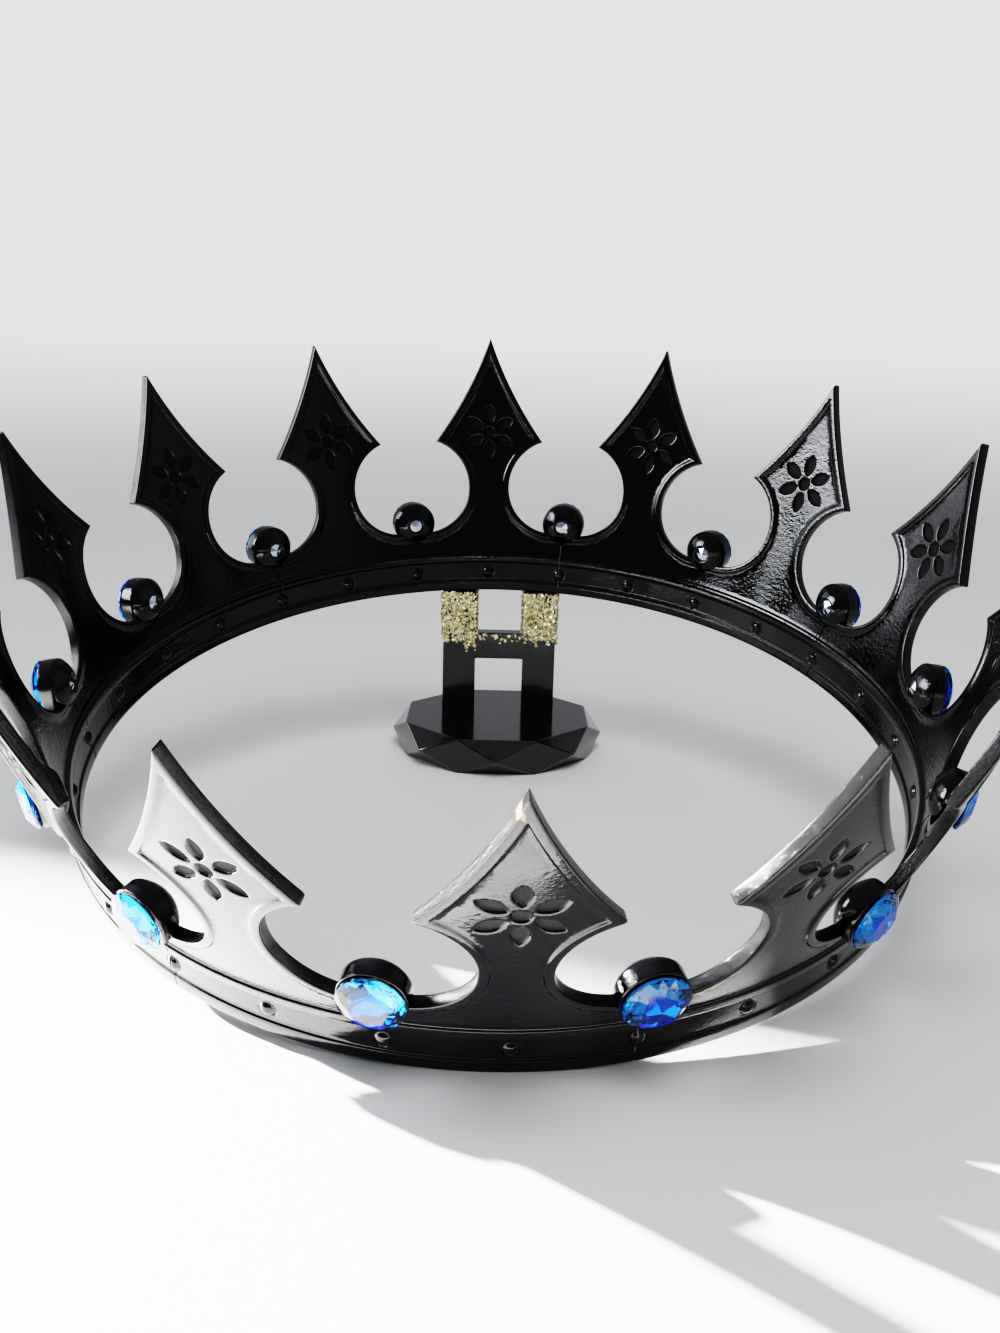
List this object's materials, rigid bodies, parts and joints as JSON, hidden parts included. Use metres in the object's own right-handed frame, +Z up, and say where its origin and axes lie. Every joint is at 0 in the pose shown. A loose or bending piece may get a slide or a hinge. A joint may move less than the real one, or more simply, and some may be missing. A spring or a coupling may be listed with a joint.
{
  "type": "costume crown on a stand",
  "caption": "Round black costume crown with arrowhead spires, blue cut stones and rivets, leaning on a small two-post display stand with a faceted base.",
  "frame": {"origin": "middle of the bounding box's underside, on the ground", "axes": "+Z up; +Y from the crown's low front edge to the stand at its back; +X to the right seen from the front"},
  "size_m": [0.222, 0.2404, 0.1176],
  "materials": {
    "lacquer": "glossy black lacquer over printed plastic, with fine layer lines and a slightly hammered surface",
    "stone": "deep blue foil-backed cut stone with a silvery bevelled girdle and cyan glints",
    "stand": "glossy black plastic",
    "glitter": "black plastic, its upper half covered with coarse champagne-gold glitter"
  },
  "bodies": {
    "root": {"segment_1": "lacquer", "segment_2": "lacquer", "segment_3": "lacquer", "segment_4": "lacquer", "segment_5": "lacquer", "segment_6": "lacquer", "segment_7": "lacquer", "stone_1": "stone", "stone_2": "stone", "stone_3": "stone", "stone_4": "stone", "stone_5": "stone", "stone_6": "stone", "stone_7": "stone", "stone_8": "stone", "stone_9": "stone", "stone_10": "stone", "stone_11": "stone", "stone_12": "stone", "stone_13": "stone", "stone_14": "stone", "stand_base": "stand", "stand_posts": "glitter"}
  },
  "joints": []
}
